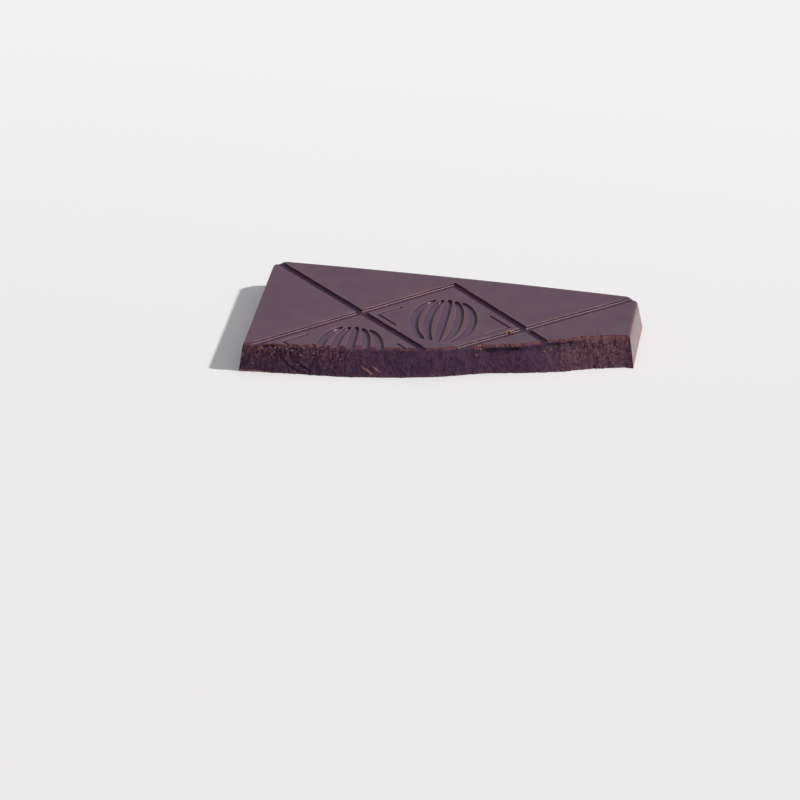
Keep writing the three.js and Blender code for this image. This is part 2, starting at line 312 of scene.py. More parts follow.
def channel_profile(width, depth, roundness):
    """Offset and rise of a channel's section, left to right: soft rims and a rounded hollow."""
    rim = width / 2
    half = [(rim + RIM_ROUND + RIM_MARGIN, LIFT)]
    half += ((rim + RIM_ROUND * (1 - t) ** 2, RIM_STAND - RIM_ROUND * t * t) for t in RIM_POINTS)
    for turn in np.linspace(0, math.pi / 2, SECTION_STEPS):
        inwards, down = max(math.cos(turn), 0), math.sin(turn)
        drop = RIM_ROUND + (depth - RIM_ROUND) * down ** (2 / roundness)
        half.append((rim * inwards ** (2 / roundness), -drop))
    return [(-offset, rise) for offset, rise in half] + half[-2::-1]


def profile_tags(hollow):
    """Which finish each strip of the profile has, round to its open top."""
    side = [RIM] * len(RIM_POINTS) + [hollow] * SECTION_STEPS
    return side + side[::-1] + [RIM]


def channel(name, stops, depth, roundness, hollow):
    """A cutter swept along stops (x, y, width, rise), mitred at its bends."""
    places = np.array([stop[:2] for stop in stops])
    legs = np.diff(places, axis=0)
    legs /= np.linalg.norm(legs, axis=1)[:, None]
    rings = []
    for i, (x, y, width, rise) in enumerate(stops):
        leg_in, leg_out = legs[max(i - 1, 0)], legs[min(i, len(legs) - 1)]
        along = leg_in + leg_out
        along /= np.linalg.norm(along)
        across = np.array((along[1], -along[0])) / along.dot(leg_in)
        section = channel_profile(width, depth, roundness)
        rings.append([(x + across[0] * o, y + across[1] * o, THICKNESS + h + rise) for o, h in section])
    return loft(name, rings[::-1], strip_tags=profile_tags(hollow), side_tag=hollow)


def wander(x, y):
    """How far a groove's rims stray at a place, as a share of RAG_SIZE."""
    waves = (s * noise(x / length + a, y / RAG_ROW + b) for s, length, a, b in RAG_WAVES)
    return float(sum(waves))


def groove(*corners):
    """A snap groove through corners (x, y, rise), its rims a little ragged."""
    stops = [(*corners[0][:2], GROOVE_WIDTH, corners[0][2])]
    for (x0, y0, rise0), (x1, y1, rise1) in zip(corners, corners[1:]):
        length = math.hypot(x1 - x0, y1 - y0)
        for t in np.arange(BEND_ROOM, length - BEND_ROOM, RAG_STEP) / length:
            x, y = mix(x0, x1, t), mix(y0, y1, t)
            rag = RAG_SIZE * wander(x, y)
            stops.append((x, y, GROOVE_WIDTH + rag, mix(rise0, rise1, t) + RAG_LIFT * rag))
        stops.append((x1, y1, GROOVE_WIDTH, rise1))
    return channel("snap_groove", stops, GROOVE_DEPTH, GROOVE_ROUND, GROOVE)


def groove_cutters():
    """The two cross grooves and the chevron between them."""
    reach = HALF_FACE + GROOVE_OVERRUN
    run_out = HALF_FACE - RUN_OUT_LENGTH
    run_out_rise = RUN_OUT_RISE * (reach - run_out) / RUN_OUT_LENGTH
    made = []
    for side in (-1, 1):
        made.append(groove(
            (side * reach, LOZENGE_BOTTOM + CROSS_SLOPE * reach, run_out_rise),
            (side * run_out, LOZENGE_BOTTOM + CROSS_SLOPE * run_out, 0),
            (-side * GROOVE_OVERRUN, LOZENGE_BOTTOM - CROSS_SLOPE * GROOVE_OVERRUN, 0),
        ))
    foot = LOZENGE_TOP - CHEVRON_SLOPE * reach
    made.append(groove((-reach, foot, 0), (0, LOZENGE_TOP, 0), (reach, foot, 0)))
    return made


def hairline_cutters(centre):
    """The fine lines in the two side corners of a lozenge."""
    slope = (LOZENGE_TOP - LOZENGE_BOTTOM) / 2 / LOZENGE_HALF_WIDTH
    rise = HAIRLINE_ARM * slope
    made = []
    for side in (-1, 1):
        corner = centre[0] + side * (LOZENGE_HALF_WIDTH - HAIRLINE_INSET)
        end = corner - side * HAIRLINE_ARM
        line = [(end, centre[1] + rise), (corner, centre[1]), (end, centre[1] - rise)]
        stops = [(x, y, HAIRLINE_WIDTH, 0) for x, y in line]
        made.append(channel("fine_line", stops, HAIRLINE_DEPTH, GROOVE_ROUND, GROOVE))
    return made


def pod_rib(centre, spread, reach_degrees):
    """One rib, bowed out by its spread like a line on a globe, with blunt tips."""
    reach = math.radians(reach_degrees)
    stops = []
    for i in range(POD_STEPS + 1):
        t = -math.cos(i / POD_STEPS * math.pi)
        body = mix(1, POD_RIB_TIP, t * t)
        tip = max(math.sqrt(1 - t ** POD_TIP_POWER), POD_TIP_LEFT)
        x = centre[0] + spread * math.cos(t * reach)
        y = centre[1] + POD_LENGTH / 2 * math.sin(t * reach)
        stops.append((x, y, POD_RIB_WIDTH * body * tip, 0))
    return channel("pod_rib", stops, POD_DEPTH, POD_ROUND, RIB)


def lozenge_centres():
    next_row = LOZENGE_SIDE - ROW_PITCH
    return [(0, LOZENGE_SIDE), (-LOZENGE_HALF_WIDTH, next_row), (LOZENGE_HALF_WIDTH, next_row)]


def face_cutters():
    made = groove_cutters()
    for centre in lozenge_centres():
        made += hairline_cutters(centre)
        made += [pod_rib(centre, s, r) for s, r in zip(POD_RIB_SPREAD, POD_RIB_REACH)]
    return made


# The broken face

def roughness(x):
    """1 where the break is torn, falling to SMOOTH_SHARE where it is smooth."""
    left = 1 - smooth(*TORN_LEFT, x)
    right = smooth(*TORN_RIGHT[:2], x) - smooth(*TORN_RIGHT[2:], x)
    return mix(SMOOTH_SHARE, 1, np.maximum(left, right))


def layer(kind, x, z):
    height, across, up, shift = kind
    return height * noise(x / across + shift, z / up)


def shell_ripples(x, z):
    """Curved grooves where the crack slowed down, sweeping down and to the right."""
    across = (x - SHELL_MIDDLE[0]) / SHELL_REACH[0]
    down = (SHELL_MIDDLE[1] - z) / SHELL_REACH[1]
    radius = np.hypot(across, down)
    sector = (1 - smooth(*SHELL_RIGHT_END, across)) * smooth(*SHELL_UPPER_END, down)
    ripple = sum(s * np.exp(-((radius - r) / SHELL_WIDTH) ** 2) for r, s in SHELL_RIPPLES)
    return SHELL_DEPTH * sector * ripple


def break_form(x, z):
    """Y of the broken face as the solid has it."""
    t = x / FACE_WIDTH + 0.5
    height = np.clip(z / THICKNESS, 0, 1)
    line = mix(through(BREAK_AT_BASE, t), through(BREAK_ON_FACE, t), height)
    lean = np.clip(-x / HACKLE_LEAN_SPAN, -1, 1)
    swept = x + lean * HACKLE_SWEEP * (1 - height) ** 2
    ridges = layer(HACKLES, swept, z) + layer(RIDGELETS, swept, z)
    ridge_share = roughness(x) * mix(BASE_SHARE, 1, height)
    rim = smooth(THICKNESS - CRUMBLE_BAND, THICKNESS, z)
    lump = noise(x / CRUMBLE_ACROSS + CRUMBLE_SHIFT, CRUMBLE_ROW) + CRUMBLE_BIAS
    overhang = height * (1 - smooth(THICKNESS - LEDGE_RUN[0], THICKNESS - LEDGE_RUN[1], z))
    ledge = sum(
        depth * overhang * (1 - smooth(LEDGE_FULL, 1, np.abs(x - middle) / half))
        for middle, half, depth in LEDGES
    )
    crumble = CRUMBLE_HEIGHT * rim * np.maximum(0, lump)
    return line + ridges * ridge_share + layer(GRAINS, x, z) + crumble + ledge


def break_surface(x, z):
    """Y of the broken face with its finest ridges, grains, chips and holes."""
    height = np.clip(z / THICKNESS, 0, 1)
    rough = roughness(x)
    fine = rough * sum(layer(kind, x, z) for kind in FINE_HACKLES)
    grain = sum(layer(kind, x, z) for kind in FINE_GRAINS)
    rim = smooth(THICKNESS - RIM_CHIP_BAND, THICKNESS, z)
    chips = rim * np.maximum(0, layer(RIM_CHIPS, x, z)) * mix(RIM_CHIP_SHARE, 1, rough)
    holes = height * np.maximum(0, layer(HOLES, x, z) - HOLE_SHARE * HOLES[0])
    for middle, level, half, depth in PITS:
        holes = holes + depth * np.exp(-((x - middle) / half) ** 4 - ((z - level) / PIT_HEIGHT) ** 2)
    return break_form(x, z) + fine + grain + chips + holes + shell_ripples(x, z)


def break_cutter():
    """All that was in front of the broken face."""
    half = HALF_FACE + BREAK_MARGIN
    front = -SLAB_LENGTH - BREAK_MARGIN
    xs = np.linspace(half, -half, BREAK_COLUMNS + 1)
    rings = []
    for z in np.linspace(-LIFT, THICKNESS + LIFT, BREAK_ROWS + 1):
        ring = [(-half, front, z), (half, front, z)]
        ring += list(zip(xs, break_surface(xs, z), np.full_like(xs, z)))
        rings.append(ring)
    return loft("front_of_break", rings, side_tag=BROKEN)


# Putting the piece together

# The order of the materials on the piece
SKIN, RIM, GROOVE, RIB, BROKEN = range(5)

SHARP_ANGLE = 38.0       # degrees between faces from which an edge stays sharp
FLAT_WEIGHT = 80         # how strongly large flat faces rule the shading


def cut(body, cutters):
    """Takes the cutters away from the body and leaves only the result."""
    for cutter in cutters:
        step = body.modifiers.new(cutter.name, "BOOLEAN")
        step.operation = "DIFFERENCE"
        step.solver = "MANIFOLD"
        step.object = cutter
    seen = bpy.context.evaluated_depsgraph_get()
    result = bpy.data.meshes.new_from_object(body.evaluated_get(seen))
    body.modifiers.clear()
    body.data = result
    for cutter in cutters:
        bpy.data.objects.remove(cutter)


def soften(piece):
    """Smooth shading that keeps the flat areas flat and the sharpest edges sharp."""
    piece.data.shade_smooth()
    piece.data.set_sharp_from_angle(angle=math.radians(SHARP_ANGLE))
    weighted = piece.modifiers.new("even_faces", "WEIGHTED_NORMAL")
    weighted.keep_sharp = True
    weighted.weight = FLAT_WEIGHT


def chocolate_piece(finishes):
    """The whole piece: the slab with its channels and its broken face cut in."""
    piece = slab()
    cutters = [*face_cutters(), break_cutter()]
    for thing in [piece, *cutters]:
        for finish in finishes:
            thing.data.materials.append(finish)
    cut(piece, cutters)
    soften(piece)
    piece.name = "chocolate_piece"
    return piece


# Colours, as linear light
COCOA = (0.131, 0.080, 0.108)
COCOA_DEEP = (0.060, 0.026, 0.060)
# Painted shade: navy in the grooves whose walls face away from the key light and on the pod's rib
# walls, plum in the grooves whose walls face it
PAINTED_SHADE_NAVY = (0.046, 0.017, 0.055)
PAINTED_SHADE_PLUM = (0.047, 0.018, 0.034)
# Bluish grey of the pod's rib floors: cocoa with a painted reflection of the sky
COCOA_WITH_PAINTED_SKY = (0.090, 0.064, 0.106)
COCOA_RED = (0.210, 0.085, 0.085)
COCOA_TAN = (0.365, 0.168, 0.130)
# Paler colour of the right side wall: its bloom, lighter also as painted light where the key falls on
# that side
BLOOM_AND_KEY_LIGHT = (0.240, 0.158, 0.170)
BREAK_DARK = (0.026, 0.009, 0.030)
BREAK_MID = (0.078, 0.037, 0.073)
BREAK_BROWN = (0.205, 0.082, 0.073)
# Reddish-brown of the break's crumbly upper edge, lighter also as painted light catching that edge
BREAK_RIM_AND_LIGHT = (0.178, 0.058, 0.068)
BREAK_FLECK = (0.560, 0.250, 0.200)
# Pale bits on the break, partly painted glints of light on crumbs
PALE_BIT_AND_GLINT = (0.700, 0.480, 0.400)
# The sheet's painted shade: darker near the camera, lighter far back
SHEET_NEAR = (0.82, 0.81, 0.82)
SHEET_FAR = (0.92, 0.92, 0.92)

# Reflection
CHOCOLATE_IOR = 1.47
SATIN_LEVEL = 0.5
MATT_LEVEL = 0.2
WHITE = (1.0, 1.0, 1.0)
GROOVE_SHEEN = (1.0, 0.80, 0.87)

# Clouds of noise on the moulded skin: size of the pattern per millimetre, detail and roughness
MOTTLING = (0.7, 4.0, 0.7)
GLOSS_CLOUDING = (0.5, 4.0)
SKIN_GRAIN, SKIN_GRAIN_DEPTH = (7.0, 2.0), 0.006
SKIN_WAVES, SKIN_WAVES_DEPTH = (0.35, 2.0), 0.03
# Spots are clouds of which only the light parts show, from the first level given to the second
CLOUDING = ((0.16, 4.0, 0.6), (0.3, 0.7))
BLOOM_MOTTLING = ((0.9, 5.0, 0.8), (0.42, 0.62))
SPECKS = ((2.6, 1.0), (0.74, 0.79))
PATCHES = ((0.2, 2.0), (0.52, 0.6))
WEAR = ((1.7, 3.0, 0.65), (0.42, 0.62))

# How strongly the shades show on the moulded skin
CLOUDING_SHARE = 0.22
MOTTLING_SHARE = 0.1
BLOOM_GAPS = 0.8
SPECK_SHARE = 0.35
RED_BY_GROOVE, RED_AT_FOOT, RED_IN_LOZENGE = 0.25, 0.6, 0.25
RED_LEAST = 0.2          # share of the red between the spots of wear
TAN_IF_WORN, TAN_BY_GROOVE, TAN_SCUFFED = 0.5, 0.2, 0.8
TAN_LEAST = 0.3

# What makes the moulded skin rougher
ROUGH_CLOUDING, ROUGH_SPECKS, ROUGH_WEAR = 0.08, 0.1, 0.2

# Where the moulded skin changes colour
EDGE_WEAR = 0.45
EDGE_STRIPES = ((-0.9, 0.0, 0.2, 0.6), (-0.4, -0.1, 0.1, 0.3))   # from inside to outside the edge
FOOT_WEAR = (1.3, 0.1)
FOOT_SCUFFS = (1.6, 0.5)
SCUFFED_WALL = (HALF_FACE, HALF_FACE + 1)
# Where the right side wall's bloom and painted light begin
BLOOM_AND_KEY_LIGHT_EDGE = (HALF_FACE + 0.1, HALF_FACE + 0.5)
DUST_FADE = (1.0, 0.5)
GROOVE_WEAR = (0.5, 0.05)         # beside a groove, from no wear to full wear
GROOVE_WEAR_INSIDE = 0.1          # where it fades out again in the groove
# How far along Y from a rising groove's middle its plum painted shade reaches
SUNLIT_GROOVE_BAND = (GROOVE_WIDTH, 0.8 * GROOVE_WIDTH)               # along Y from a groove's middle
RIB_FLOOR = THICKNESS - POD_DEPTH
# The walls of the pod's ribs, which get navy painted shade
RIB_WALL_TOP = (THICKNESS - 0.1, RIB_FLOOR + 0.1)
RIB_WALL_FOOT = (RIB_FLOOR + 0.02, RIB_FLOOR + 0.1)

# Clouds of noise on the break
STREAKS, STREAKS_DEPTH = (4.2, 3.0, 0.7), 0.05
FIBRES, FIBRES_DEPTH = (2.4, 4.0, 0.7), 0.12
BREAK_GRAIN, BREAK_GRAIN_DEPTH = (5.5, 2.0, 0.7), 0.05
BROAD_SHADES = ((0.4, 3.0), (0.42, 0.62))
SPARKS = ((4.2, 1.0), (0.76, 0.8))
DRAWN_STREAKS = (1.0, 1.0, 0.2)   # drawn out along Z
DRAWN_FIBRES = (1.0, 1.0, 0.4)

# Levels of those clouds, from no colour to full colour
PALE_STREAKS, BROWN_STREAKS, FOOT_STREAKS = (0.32, 0.62), (0.45, 0.62), (0.5, 0.6)
DARK_FIBRES, BROWN_FIBRES, FOOT_FIBRES = (0.5, 0.36), (0.5, 0.66), (0.35, 0.5)
RIM_GRAINS, SCRATCH_GRAINS, FLECK_GRAINS = (0.35, 0.6), (0.4, 0.55), (0.64, 0.72)

# How strongly the colours show on the break
PALE_IF_SMOOTH = 0.25
DARK_BROAD, DARK_FIBRE, SHELL_SHADE_SHARE, UNDER_RIM_SHADOW_SHARE = 0.3, 0.75, 0.7, 0.65
BROWN_LEAST, BROWN_IF_TORN = 0.2, 0.75
BROWN_AT_RIGHT = 0.5
RIM_LEAST, RIM_BY_GRAIN = 0.4, 0.5
FOOT_SHARE, FOOT_BY_STREAK = 0.7, 0.4
FLECK_LEAST, FLECK_IF_TORN, FLECK_AT_RIM = 0.12, 0.4, 0.35
SPARK_SHARE, SPARK_LEAST = 0.8, 0.2
FIBRES_LEAST = 0.2       # depth that the fibres keep where the break is smooth
BREAK_ROUGHNESS, GRAIN_ROUGHNESS = 0.6, 0.2

# Where the break changes colour
TORN_COLOUR_LEFT = (-13.0, -22.0)
TORN_COLOUR_RIGHT = (22.0, 27.0)
LIGHT_UPPER = (0.8, THICKNESS * 0.6)
# The break's upper edge: its own reddish-brown, lighter also as painted light
RIM_TONE_AND_LIGHT = (THICKNESS - 0.75, THICKNESS - 0.3)
# Band of painted shadow under the upper edge, and where along X it starts and ends
PAINTED_SHADOW_UNDER_RIM = (THICKNESS - 1.9, THICKNESS - 1.2)
SHADOW_FROM_X, SHADOW_TO_X = (7.0, 10.0), (31.0, 27.0)
FOOT_LINE = (0.5, 0.25)
LEFT_END = (-32.0, -35.0)
# Painted shade along the shell-shaped ripples: its width, and its fade towards their right end
SHELL_BAND = (0.05, 0.01)
SHELL_BAND_FADE = 1.5    # towards their right end
SCRATCH_EDGE = (1.0, 0.7)

# The crumbs and the sheet
CRUMB_SHADES = ((0.9, 2.0), (0.35, 0.65))
CRUMB_GRAIN, CRUMB_GRAIN_DEPTH = (9.0, 2.0), 0.02
CRUMB_ROUGHNESS, SHADE_ROUGHNESS = 0.6, 0.1
ON_FACE = (THICKNESS - 0.1, THICKNESS)
SHEET_GRAIN, SHEET_GRAIN_DEPTH = (2.0, 3.0), 0.01
SHEET_FADE = (-150.0, 300.0)      # Y of the near and the far shade
SHEET_ROUGHNESS = 0.75


# Materials: one class for sums on sockets, one for building a finish

class Value:
    """A shader socket that can stand in a sum."""

    def __init__(self, finish, socket):
        self.finish = finish
        self.socket = socket

    def math(self, operation, *others):
        values = dict(enumerate([self, *others]))
        return self.finish.add("ShaderNodeMath", {"operation": operation}, values)

    def __add__(self, other):
        return self.math("ADD", other)

    __radd__ = __add__

    def __mul__(self, other):
        return self.math("MULTIPLY", other)

    __rmul__ = __mul__

    def __sub__(self, other):
        return self.math("SUBTRACT", other)

    def __rsub__(self, other):
        return self * -1 + other

    def __truediv__(self, other):
        return self.math("DIVIDE", other)


class Finish:
    """A material built node by node."""

    def __init__(self, holder):
        """The holder is a new material's name, or a world that has nodes."""
        if isinstance(holder, str):
            holder = bpy.data.materials.new(holder)
            holder.use_nodes = True
        self.holder = holder
        self.nodes = holder.node_tree.nodes
        self.links = holder.node_tree.links
        self.nodes.clear()

    def add(self, kind, settings=None, sockets=None, output=0):
        node = self.nodes.new(kind)
        for name, setting in (settings or {}).items():
            setattr(node, name, setting)
        for key, value in (sockets or {}).items():
            if isinstance(value, Value):
                self.links.new(value.socket, node.inputs[key])
            else:
                node.inputs[key].default_value = value
        return Value(self, node.outputs[output])

    def place(self):
        """Where a point is, in the bar's own millimetres."""
        spot = self.add("ShaderNodeTexCoord", output="Object")
        sockets = {0: spot, 1: (1 / MM, 1 / MM, 1 / MM), 2: (-MID_WIDTH, -END_LINE, 0)}
        return self.add("ShaderNodeVectorMath", {"operation": "MULTIPLY_ADD"}, sockets)

    def distance(self, place, centre, reach, slant=0.0):
        """How far a place is from a centre, where 1 is the reach; the slant turns it about Y."""
        turning = {"Vector": place, "Center": centre, "Axis": (0, 1, 0), "Angle": math.radians(slant)}
        turned = self.add("ShaderNodeVectorRotate", {"rotation_type": "AXIS_ANGLE"}, turning)
        offset = self.add("ShaderNodeVectorMath", {"operation": "SUBTRACT"}, {0: turned, 1: centre})
        scaled = self.stretched(offset, [1 / r for r in reach])
        return self.add("ShaderNodeVectorMath", {"operation": "LENGTH"}, {0: scaled}, "Value")

    def stretched(self, place, factors):
        return self.add("ShaderNodeVectorMath", {"operation": "MULTIPLY"}, {0: place, 1: factors})

    def part(self, place, axis):
        return self.add("ShaderNodeSeparateXYZ", None, {0: place}, axis)

    def cloud(self, place, scale, detail=2.0, rough=0.5):
        sockets = {"Vector": place, "Scale": scale, "Detail": detail, "Roughness": rough}
        return self.add("ShaderNodeTexNoise", None, sockets)

    def spots(self, place, pattern, levels):
        """1 in the light parts of a cloud of noise and 0 in the dark ones."""
        return self.band(self.cloud(place, *pattern), *levels)

    def band(self, value, start, end):
        """0 below start and 1 above end, smoothly; the other way round if start is above end."""
        settings = {"interpolation_type": "SMOOTHSTEP"}
        if start < end:
            limits = {1: start, 2: end, 3: 0.0, 4: 1.0}
        else:
            limits = {1: end, 2: start, 3: 1.0, 4: 0.0}
        return self.add("ShaderNodeMapRange", settings, {0: value, **limits})

    def tint(self, share, under, over):
        """The colour under, turned into the colour over by a share from 0 to 1."""
        sockets = {0: share, 6: colour(under), 7: colour(over)}
        return self.add("ShaderNodeMix", {"data_type": "RGBA"}, sockets, 2)

    def bump(self, height, depth, below=None):
        """Relief of the given depth in millimetres."""
        sockets = {"Height": height, "Distance": depth * MM, "Strength": 1.0}
        if below:
            sockets["Normal"] = below
        return self.add("ShaderNodeBump", None, sockets)

    def end(self, kind, shader):
        self.links.new(shader.socket, self.nodes.new(kind).inputs["Surface"])
        return self.holder

    def surface(self, base, roughness, relief, level=SATIN_LEVEL, sheen=WHITE):
        """The finished material, from its colour, roughness, relief and reflection."""
        sockets = {"Base Color": base, "Roughness": roughness, "Normal": relief}
        sockets |= {"IOR": CHOCOLATE_IOR, "Specular IOR Level": level, "Specular Tint": colour(sheen)}
        return self.end("ShaderNodeOutputMaterial", self.add("ShaderNodeBsdfPrincipled", None, sockets))


def colour(value):
    return value if isinstance(value, Value) else (*value, 1.0)


def from_groove(x, y, chevron_slope, along_y=False):
    """How far a point is from a chevron leg or a cross groove, whichever is nearer."""
    chevron = (y - LOZENGE_TOP - chevron_slope * x).math("ABSOLUTE")
    cross = (y - LOZENGE_BOTTOM - CROSS_SLOPE * x).math("ABSOLUTE")
    if not along_y:
        chevron = chevron / math.hypot(1, chevron_slope)
        cross = cross / math.hypot(1, CROSS_SLOPE)
    return chevron.math("MINIMUM", cross)


def groove_wear(f, p):
    """1 at the rim of a snap groove, fading out on the face beside it."""
    x = f.part(p, "X").math("ABSOLUTE")
    nearest = from_groove(x, f.part(p, "Y"), -CHEVRON_SLOPE)
    rim = GROOVE_WIDTH / 2
    outside = f.band(nearest, rim + GROOVE_WEAR[0], rim + GROOVE_WEAR[1])
    return outside * f.band(nearest, rim - GROOVE_WEAR_INSIDE, rim)


def in_rising_groove(f, p):
    """1 in the two snap grooves that rise to the right, whose walls face the key light and take the
    plum painted shade instead of the navy.
    """
    nearest = from_groove(f.part(p, "X"), f.part(p, "Y"), CHEVRON_SLOPE, along_y=True)
    return f.band(nearest, *SUNLIT_GROOVE_BAND)


def edge_wear(f, x):
    """The rubbed edges between the face and its side walls: a soft stripe with a sharp one in it."""
    beyond = x.math("ABSOLUTE") - HALF_FACE
    stripes = (f.band(beyond, a, b) * f.band(beyond, d, c) for a, b, c, d in EDGE_STRIPES)
    return EDGE_WEAR * sum(stripes)


def rib_wall(f, z):
    """1 on the walls of the pod's ribs, between their rims and their floors, where painted shade
    darkens them.
    """
    return f.band(z, *RIB_WALL_TOP) * f.band(z, *RIB_WALL_FOOT)


def dusty(f, p):
    """1 in the middle of each lozenge."""
    return sum(f.band(f.distance(p, (*c, 0), DUST_REACH), *DUST_FADE) for c in lozenge_centres())


def skin(name, colour_here=COCOA, sunlit_groove_shade=None, wear=0.0, gloss=0.32, painted_wall_shade=0.0):
    """The satin skin that the mould leaves, with faint clouding, specks, scuffs and worn edges; its
    grooves and the pod's rib walls get painted shade, and its right side wall bloom with painted light.
    """
    f = Finish(name)
    p = f.place()
    x, z = f.part(p, "X"), f.part(p, "Z")
    sheen = WHITE
    # In the grooves that rise to the right, facing the key light, the plum painted shade takes the
    # place of the navy
    if sunlit_groove_shade:
        colour_here = f.tint(in_rising_groove(f, p), colour_here, sunlit_groove_shade)
        sheen = GROOVE_SHEEN
    speck = f.spots(p, *SPECKS)
    worn = f.spots(p, *WEAR)
    beside = groove_wear(f, p)
    scuffed = f.band(z, *FOOT_SCUFFS) * f.band(x, *SCUFFED_WALL)

    # Painted shade on the walls of the pod's ribs
    base = f.tint(painted_wall_shade * rib_wall(f, z), colour_here, PAINTED_SHADE_NAVY)
    cloudy = CLOUDING_SHARE * (1 - f.spots(p, *CLOUDING)) + MOTTLING_SHARE * f.cloud(p, *MOTTLING)
    base = f.tint(cloudy, base, COCOA_DEEP)
    # The right side wall: bloom, lighter also as painted light of the key
    bloom_and_key_light = f.tint(BLOOM_GAPS * f.spots(p, *BLOOM_MOTTLING), BLOOM_AND_KEY_LIGHT, COCOA)
    base = f.tint(f.band(x, *BLOOM_AND_KEY_LIGHT_EDGE), base, bloom_and_key_light)
    rubbed = edge_wear(f, x) + RED_BY_GROOVE * beside + RED_AT_FOOT * f.band(z, *FOOT_WEAR)
    rubbed = rubbed + RED_IN_LOZENGE * dusty(f, p) + wear
    base = f.tint(rubbed * mix(RED_LEAST, 1, worn), base, COCOA_RED)
    patchy = (TAN_IF_WORN * wear + TAN_BY_GROOVE * beside) * f.spots(p, *PATCHES)
    base = f.tint(patchy * mix(TAN_LEAST, 1, worn), base, COCOA_TAN)
    base = f.tint(SPECK_SHARE * speck, base, COCOA_TAN)
    base = f.tint(TAN_SCUFFED * scuffed * mix(TAN_LEAST, 1, worn), base, COCOA_TAN)

    rough = gloss + ROUGH_CLOUDING * f.cloud(p, *GLOSS_CLOUDING) + ROUGH_SPECKS * speck
    rough = rough + ROUGH_WEAR * (wear + beside + scuffed) * worn
    relief = f.bump(f.cloud(p, *SKIN_GRAIN), SKIN_GRAIN_DEPTH)
    relief = f.bump(f.cloud(p, *SKIN_WAVES), SKIN_WAVES_DEPTH, relief)
    dimple = f.distance(p, DIMPLE, (DIMPLE_RADIUS, DIMPLE_RADIUS, EVERYWHERE))
    relief = f.bump(dimple.math("MINIMUM", 1.0), DIMPLE_DEPTH, relief)
    return f.surface(base, rough, relief, sheen=sheen)


def shell_shade_bands(f, p):
    """1 along the curved grooves in the break, where painted shade darkens them."""
    centre = (SHELL_MIDDLE[0], 0, SHELL_MIDDLE[1])
    radius = f.distance(p, centre, (SHELL_REACH[0], EVERYWHERE, SHELL_REACH[1]))
    bands = (s * f.band((radius - r).math("ABSOLUTE"), *SHELL_BAND) for r, s in SHELL_RIPPLES)
    right_end = SHELL_MIDDLE[0] + SHELL_RIGHT_END[1] * SHELL_REACH[0]
    return sum(bands) * f.band(f.part(p, "X"), right_end, right_end - SHELL_BAND_FADE)


def broken_face():
    """Dry matt chocolate, streaked down the break and torn into brown fibres towards its ends, with
    painted shade in the gaps between fibres, along the shell-shaped ripples and under the upper edge,
    and painted light on that edge and in pale glints.
    """
    f = Finish("broken_chocolate")
    p = f.place()
    x, z = f.part(p, "X"), f.part(p, "Z")
    right = f.band(x, *TORN_COLOUR_RIGHT)
    torn = f.band(x, *TORN_COLOUR_LEFT) + right
    upper = f.band(z, *LIGHT_UPPER)
    rim = f.band(z, *RIM_TONE_AND_LIGHT)
    # Band under the upper edge, where painted shadow goes
    shadow_under_rim = f.band(z, *PAINTED_SHADOW_UNDER_RIM) - rim
    streaks = f.cloud(f.stretched(p, DRAWN_STREAKS), *STREAKS)
    fibres = f.cloud(f.stretched(p, DRAWN_FIBRES), *FIBRES)
    grains = f.cloud(p, *BREAK_GRAIN)

    pale = PALE_IF_SMOOTH * (1 - torn) + f.band(streaks, *PALE_STREAKS)
    base = f.tint(pale, BREAK_DARK, BREAK_MID)
    base = f.tint(DARK_BROAD * f.spots(p, *BROAD_SHADES) * (1 - torn), base, BREAK_DARK)
    # Painted shade in the low gaps between the fibres, where their bump is lowest
    base = f.tint(DARK_FIBRE * f.band(fibres, *DARK_FIBRES) * torn * upper, base, BREAK_DARK)
    brown = f.band(fibres, *BROWN_FIBRES) * (BROWN_LEAST + BROWN_IF_TORN * torn * upper)
    base = f.tint(brown, base, BREAK_BROWN)
    base = f.tint(BROWN_AT_RIGHT * right * f.band(streaks, *BROWN_STREAKS), base, BREAK_BROWN)
    # Painted shade along the shell-shaped ripples
    base = f.tint(SHELL_SHADE_SHARE * shell_shade_bands(f, p), base, BREAK_DARK)
    # Painted shadow under the overhanging upper edge of the break
    shade = UNDER_RIM_SHADOW_SHARE * shadow_under_rim * f.band(x, *SHADOW_FROM_X) * f.band(x, *SHADOW_TO_X)
    base = f.tint(shade, base, BREAK_DARK)
    # The upper edge's reddish-brown, lighter also as painted light catching it
    base = f.tint(rim * (RIM_LEAST + RIM_BY_GRAIN * f.band(grains, *RIM_GRAINS)), base, BREAK_RIM_AND_LIGHT)
    for middle, reach in SCRATCHES:
        away = f.distance(p, middle, (reach, EVERYWHERE, SCRATCH_WIDTH), SCRATCH_SLANT)
        scratch = f.band(away, *SCRATCH_EDGE) * f.band(grains, *SCRATCH_GRAINS)
        base = f.tint(scratch, base, COCOA_TAN)
    streaky = f.band(x, *LEFT_END) + FOOT_BY_STREAK * f.band(streaks, *FOOT_STREAKS)
    foot = f.band(z, *FOOT_LINE) * streaky
    base = f.tint(FOOT_SHARE * foot * f.band(fibres, *FOOT_FIBRES), base, COCOA_TAN)
    fleck = FLECK_LEAST + FLECK_IF_TORN * torn * upper + FLECK_AT_RIM * rim
    base = f.tint(f.band(grains, *FLECK_GRAINS) * fleck, base, BREAK_FLECK)
    # Pale bits on the break, partly painted glints, more where it is torn
    spark = f.spots(p, *SPARKS) * mix(SPARK_LEAST, 1, torn)
    base = f.tint(SPARK_SHARE * spark, base, PALE_BIT_AND_GLINT)

    relief = f.bump(streaks, STREAKS_DEPTH)
    relief = f.bump(fibres * (FIBRES_LEAST + torn), FIBRES_DEPTH, relief)
    relief = f.bump(grains, BREAK_GRAIN_DEPTH, relief)
    return f.surface(base, BREAK_ROUGHNESS + GRAIN_ROUGHNESS * grains, relief, MATT_LEVEL)


